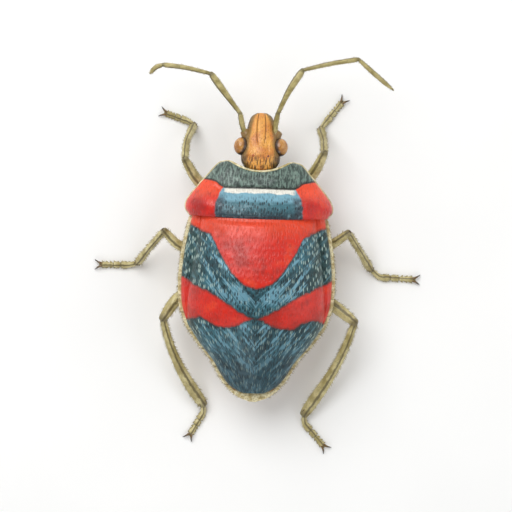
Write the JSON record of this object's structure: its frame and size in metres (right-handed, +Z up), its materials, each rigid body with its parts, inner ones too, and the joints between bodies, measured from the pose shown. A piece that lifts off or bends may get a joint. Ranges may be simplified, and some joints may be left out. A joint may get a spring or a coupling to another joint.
{
  "type": "shield bug",
  "caption": "Standing shield bug with a domed shield over its back, a long head, jointed antennae and legs, as a still life-size model.",
  "frame": {"origin": "on the ground, under the middle of the standing animal's bounding box", "axes": "+Z up, +Y from the head towards the tail, +X towards the animal's own left side"},
  "size_m": [0.0303, 0.0362, 0.0093],
  "materials": {
    "head": "satin, orange with brown sides",
    "eye": "glossy amber",
    "beak": "satin",
    "antenna": "satin olive",
    "pronotum": "glossy, red with a blue middle and a grey-green collar",
    "shield": "glossy, blue and teal with red bands",
    "forewing": "satin",
    "underside": "satin ochre with a pale rim",
    "leg": "satin olive gold",
    "foot": "satin olive gold"
  },
  "bodies": {
    "root": {"head": "head", "eye_left": "eye", "eye_right": "eye", "beak": "beak", "antenna_left_1": "antenna", "antenna_left_2": "antenna", "antenna_left_3": "antenna", "antenna_left_4": "antenna", "antenna_right_1": "antenna", "antenna_right_2": "antenna", "antenna_right_3": "antenna", "antenna_right_4": "antenna", "pronotum": "pronotum", "shield": "shield", "wing_edge_left": "forewing", "wing_edge_right": "forewing", "thorax": "underside", "abdomen": "underside", "coxa_front_left": "leg", "femur_front_left": "leg", "tibia_front_left": "leg", "foot_front_left": "foot", "coxa_front_right": "leg", "femur_front_right": "leg", "tibia_front_right": "leg", "foot_front_right": "foot", "coxa_middle_left": "leg", "femur_middle_left": "leg", "tibia_middle_left": "leg", "foot_middle_left": "foot", "coxa_middle_right": "leg", "femur_middle_right": "leg", "tibia_middle_right": "leg", "foot_middle_right": "foot", "coxa_hind_left": "leg", "femur_hind_left": "leg", "tibia_hind_left": "leg", "foot_hind_left": "foot", "coxa_hind_right": "leg", "femur_hind_right": "leg", "tibia_hind_right": "leg", "foot_hind_right": "foot"}
  },
  "joints": []
}
